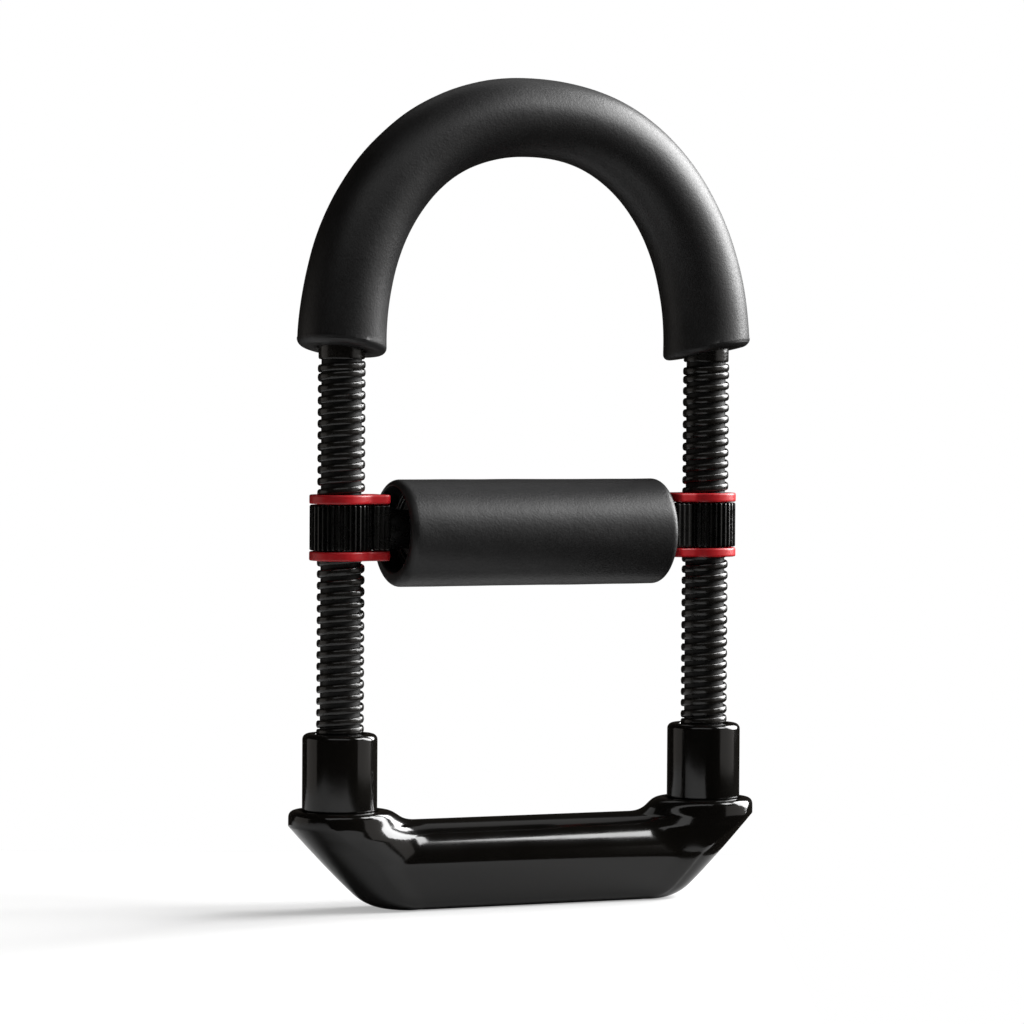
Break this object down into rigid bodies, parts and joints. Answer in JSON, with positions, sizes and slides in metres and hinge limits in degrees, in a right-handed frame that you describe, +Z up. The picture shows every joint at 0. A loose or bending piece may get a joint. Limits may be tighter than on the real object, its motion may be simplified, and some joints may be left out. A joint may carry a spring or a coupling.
{
  "type": "hand grip strengthener",
  "caption": "Upright grip trainer: foam-covered arch and sprung legs on a cast base, with a sliding foam handle between red guide plates and ribbed adjusting wheels.",
  "frame": {"origin": "centre of the base's flat underside, on the surface it stands on", "axes": "+Z up along the legs, X across the two legs, -Y towards the person facing it"},
  "size_m": [0.1564, 0.033, 0.2562],
  "materials": {
    "black_steel": "glossy black paint on the bent tube and stop rings",
    "spring_steel": "glossy black coated spring wire",
    "black_foam": "matte closed-cell foam with a fine pebbled skin",
    "gloss_black": "piano-black gloss enamel on a cast base and collars",
    "bright_steel": "plain zinc-plated steel pins and spring seats, hidden inside",
    "black_plastic": "moulded black plastic with a soft gloss",
    "red_plastic": "moulded red plastic, semi-gloss"
  },
  "bodies": {
    "frame": {"u_frame_tube": "black_steel", "arch_foam_grip": "black_foam", "base_bar": "gloss_black", "left_collar": "gloss_black", "left_spring_seat": "bright_steel", "left_spring": "spring_steel", "left_spring_stop": "black_steel", "left_stop_pin": "bright_steel", "left_leg_pin": "bright_steel", "right_collar": "gloss_black", "right_spring_seat": "bright_steel", "right_spring": "spring_steel", "right_spring_stop": "black_steel", "right_stop_pin": "bright_steel", "right_leg_pin": "bright_steel"},
    "handle": {"handle_core_tube": "black_plastic", "handle_foam_grip": "black_foam", "left_upper_plate": "red_plastic", "left_lower_plate": "red_plastic", "left_hub": "black_plastic", "left_end_plug": "black_plastic", "left_hub_pin": "bright_steel", "right_upper_plate": "red_plastic", "right_lower_plate": "red_plastic", "right_hub": "black_plastic", "right_end_plug": "black_plastic", "right_hub_pin": "bright_steel"},
    "left_wheel": {"left_adjuster_wheel": "black_plastic"},
    "right_wheel": {"right_adjuster_wheel": "black_plastic"}
  },
  "joints": [
    {"name": "handle_press", "type": "slide", "parent": "frame", "child": "handle", "axis": [0, 0, 1], "range_m": [-0.018, 0.018], "stiffness_N_per_m": 5000, "deforming": ["left_spring", "right_spring"]},
    {"name": "left_wheel_turn", "type": "hinge", "parent": "handle", "child": "left_wheel", "pos_m": [-0.0625, 0, 0.1174], "axis": [0, 0, 1], "continuous": true},
    {"name": "right_wheel_turn", "type": "hinge", "parent": "handle", "child": "right_wheel", "pos_m": [0.0625, 0, 0.1174], "axis": [0, 0, 1], "continuous": true}
  ]
}
